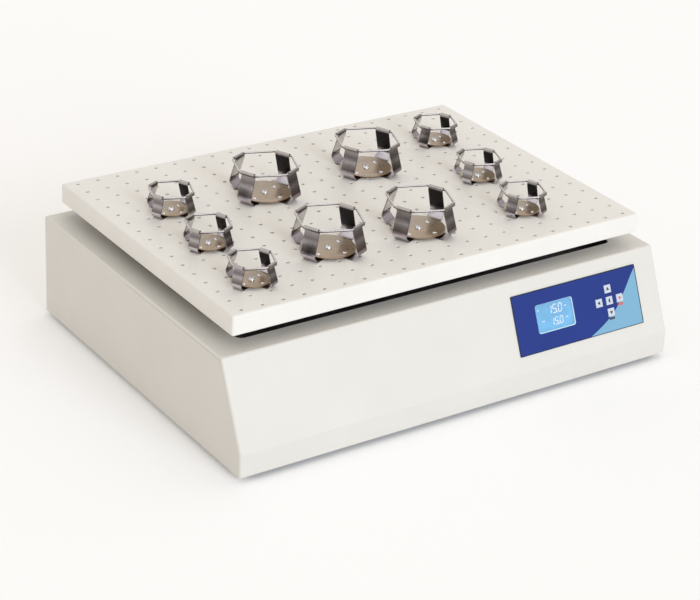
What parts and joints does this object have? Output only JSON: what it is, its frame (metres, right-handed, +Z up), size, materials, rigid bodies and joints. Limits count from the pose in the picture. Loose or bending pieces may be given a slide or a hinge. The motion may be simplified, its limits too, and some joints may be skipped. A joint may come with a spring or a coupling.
{
  "type": "linear shaker",
  "caption": "Benchtop linear shaker: a perforated platform with sprung flask clamps slides from side to side on a low, slant-fronted steel housing with a control panel.",
  "frame": {"origin": "centre of the housing footprint, on the bench under the rubber feet", "axes": "+X to the right along the front, the way the platform slides; +Y to the back; +Z up"},
  "size_m": [0.58, 0.4452, 0.2073],
  "materials": {
    "cover_paint": "cream powder coat, semi-gloss",
    "platform_paint": "cream powder coat, fine texture",
    "dark_steel": "black powder coat",
    "foot_rubber": "matte black",
    "zinc_screw": "zinc plated",
    "bright_steel": "ground steel",
    "clamp_steel": "polished stainless spring steel",
    "seat_steel": "stainless steel",
    "aluminium": "milled aluminium",
    "bracket_steel": "zinc plated sheet steel",
    "motor_black": "black enamel",
    "belt_rubber": "ribbed rubber",
    "overlay_film": "printed blue polycarbonate film",
    "display_glass": "clear window",
    "display_body": "backlit liquid crystal display",
    "board_green": "printed circuit board",
    "key_plastic": "pale grey key",
    "black_plastic": "black moulded plastic",
    "rocker_plastic": "black moulded plastic"
  },
  "bodies": {
    "root": {"housing_cover": "cover_paint", "base_tray": "dark_steel", "cover_screws": "zinc_screw", "rubber_feet": "foot_rubber", "foot_screws": "zinc_screw", "drive_well": "dark_steel", "rail_brackets": "bracket_steel", "guide_rails": "bright_steel", "crank_bearing_block": "aluminium", "crank_bearing": "bright_steel", "motor_bracket": "bracket_steel", "motor": "motor_black", "drive_belt": "belt_rubber", "control_overlay": "overlay_film", "display_window": "display_glass", "display_module": "display_body", "control_board": "board_green", "power_supply": "bracket_steel", "mains_inlet": "black_plastic", "switch_bezel": "black_plastic"},
    "platform": {"platform_tray": "platform_paint", "platform_frame": "bracket_steel", "frame_screws": "zinc_screw", "support_posts": "aluminium", "carriage_screws": "zinc_screw", "carriage_plate": "aluminium", "bearing_blocks": "aluminium", "yoke": "aluminium", "clamp_screws": "bright_steel", "large_clamp_rings": "clamp_steel", "small_clamp_rings": "clamp_steel", "large_clamp_seats": "seat_steel", "small_clamp_seats": "seat_steel", "large_clamp_1": "clamp_steel", "large_clamp_2": "clamp_steel", "large_clamp_3": "clamp_steel", "large_clamp_4": "clamp_steel", "small_clamp_1": "clamp_steel", "small_clamp_2": "clamp_steel", "small_clamp_3": "clamp_steel", "small_clamp_4": "clamp_steel", "small_clamp_5": "clamp_steel", "small_clamp_6": "clamp_steel"},
    "crank": {"crank_shaft": "bright_steel", "crank_pulley": "aluminium", "counterweight": "bracket_steel", "crank_pin": "bright_steel", "pin_roller": "bright_steel"},
    "motor_rotor": {"motor_shaft": "bright_steel", "motor_pulley": "aluminium"},
    "rocker": {"rocker": "rocker_plastic"},
    "key_up": {"key_up": "key_plastic"},
    "key_left": {"key_left": "key_plastic"},
    "key_centre": {"key_centre": "key_plastic"},
    "key_right": {"key_right": "key_plastic"},
    "key_down": {"key_down": "key_plastic"}
  },
  "joints": [
    {"name": "platform_slide", "type": "slide", "parent": "root", "child": "platform", "axis": [1, 0, 0], "range_m": [-0.01, 0.01]},
    {"name": "crank_spin", "type": "hinge", "parent": "root", "child": "crank", "pos_m": [0, 0.021, 0.061], "axis": [0, 0, 1], "range_deg": [-90, 90]},
    {"name": "motor_spin", "type": "hinge", "parent": "root", "child": "motor_rotor", "pos_m": [-0.11, 0.021, 0.061], "axis": [0, 0, 1], "range_deg": [-270, 270]},
    {"name": "rocker_tilt", "type": "hinge", "parent": "root", "child": "rocker", "pos_m": [0.172, 0.2205, 0.052], "axis": [1, 0, 0], "range_deg": [-20, 0]},
    {"name": "key_up_press", "type": "slide", "parent": "root", "child": "key_up", "axis": [0, 0.913, -0.4079], "range_m": [0, 0.0005], "stiffness_N_per_m": 400},
    {"name": "key_left_press", "type": "slide", "parent": "root", "child": "key_left", "axis": [0, 0.913, -0.4079], "range_m": [0, 0.0005], "stiffness_N_per_m": 400},
    {"name": "key_centre_press", "type": "slide", "parent": "root", "child": "key_centre", "axis": [0, 0.913, -0.4079], "range_m": [0, 0.0005], "stiffness_N_per_m": 400},
    {"name": "key_right_press", "type": "slide", "parent": "root", "child": "key_right", "axis": [0, 0.913, -0.4079], "range_m": [0, 0.0005], "stiffness_N_per_m": 400},
    {"name": "key_down_press", "type": "slide", "parent": "root", "child": "key_down", "axis": [0, 0.913, -0.4079], "range_m": [0, 0.0005], "stiffness_N_per_m": 400}
  ],
  "couplings": [
    {"joint": "crank_spin", "follows": "platform_slide", "rad_per_m": 157},
    {"joint": "motor_spin", "follows": "platform_slide", "rad_per_m": 471}
  ]
}
